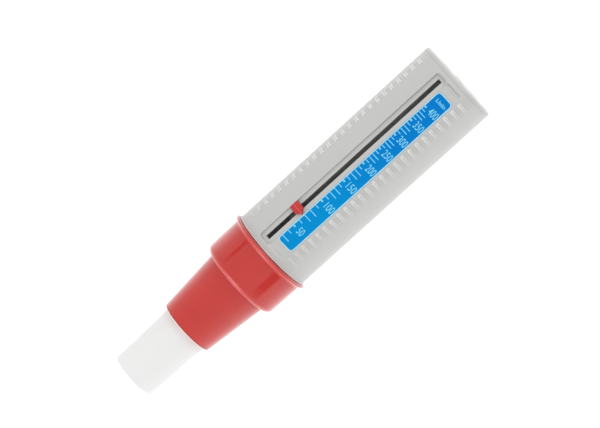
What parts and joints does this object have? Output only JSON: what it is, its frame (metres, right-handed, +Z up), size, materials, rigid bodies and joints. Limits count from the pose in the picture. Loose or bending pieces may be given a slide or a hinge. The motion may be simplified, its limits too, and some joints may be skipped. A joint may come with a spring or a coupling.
{
  "type": "peak flow meter",
  "caption": "Hand-held peak flow meter with a round barrel, pull-off mouthpiece, spring-returned piston on a rod, and a pointer that slides along a scale.",
  "frame": {"origin": "Middle of the meter's bounding box, on the surface that it lies on, straight below its axis.", "axes": "+X runs along the barrel from the mouthpiece to the end cap, +Z points up out of the pointer's slot, and the scale plate lies on the -Y side of the slot."},
  "size_m": [0.252, 0.0554, 0.0553],
  "materials": {
    "barrel_plastic": "moulded pale grey plastic, satin",
    "nose_plastic": "moulded red plastic, glossy",
    "mouthpiece_plastic": "moulded white plastic, smooth",
    "seal_rubber": "soft black rubber",
    "scale_blue": "printed blue plate with pale scale marks",
    "pointer_plastic": "moulded red plastic",
    "felt": "dense felt",
    "spring_steel": "bright spring steel",
    "piston_plastic": "thin moulded dark plastic",
    "bush_brass": "plain brass",
    "rivet_aluminium": "plain aluminium",
    "rod_steel": "ground stainless steel"
  },
  "bodies": {
    "barrel": {"body_tube": "barrel_plastic", "end_cap": "barrel_plastic", "nose_cone": "nose_plastic", "scale_plate": "scale_blue", "guide_rod": "rod_steel", "front_spider": "piston_plastic", "spring_cup": "spring_steel", "return_spring": "spring_steel", "front_buffer": "seal_rubber", "rear_buffer": "seal_rubber", "body_gasket": "seal_rubber", "rod_nuts": "rod_steel", "rod_washers": "rod_steel"},
    "piston_unit": {"piston": "piston_plastic", "hub_bushes": "bush_brass", "drive_arm": "spring_steel", "arm_rivets": "rivet_aluminium"},
    "pointer_unit": {"pointer": "pointer_plastic", "pointer_pad": "felt", "pointer_clip": "spring_steel"},
    "mouthpiece_unit": {"mouthpiece": "mouthpiece_plastic", "mouthpiece_ring": "seal_rubber"}
  },
  "joints": [
    {"name": "piston_slide", "type": "slide", "parent": "barrel", "child": "piston_unit", "axis": [1, 0, 0], "range_m": [-0.0204, 0.103], "deforming": ["return_spring"]},
    {"name": "pointer_slide", "type": "slide", "parent": "barrel", "child": "pointer_unit", "axis": [1, 0, 0], "range_m": [-0.0204, 0.103]},
    {"name": "mouthpiece_slide", "type": "slide", "parent": "barrel", "child": "mouthpiece_unit", "axis": [-1, 0, 0], "range_m": [0, 0.03]}
  ],
  "couplings": [
    {"joint": "pointer_slide", "follows": "piston_slide", "ratio": 1}
  ]
}
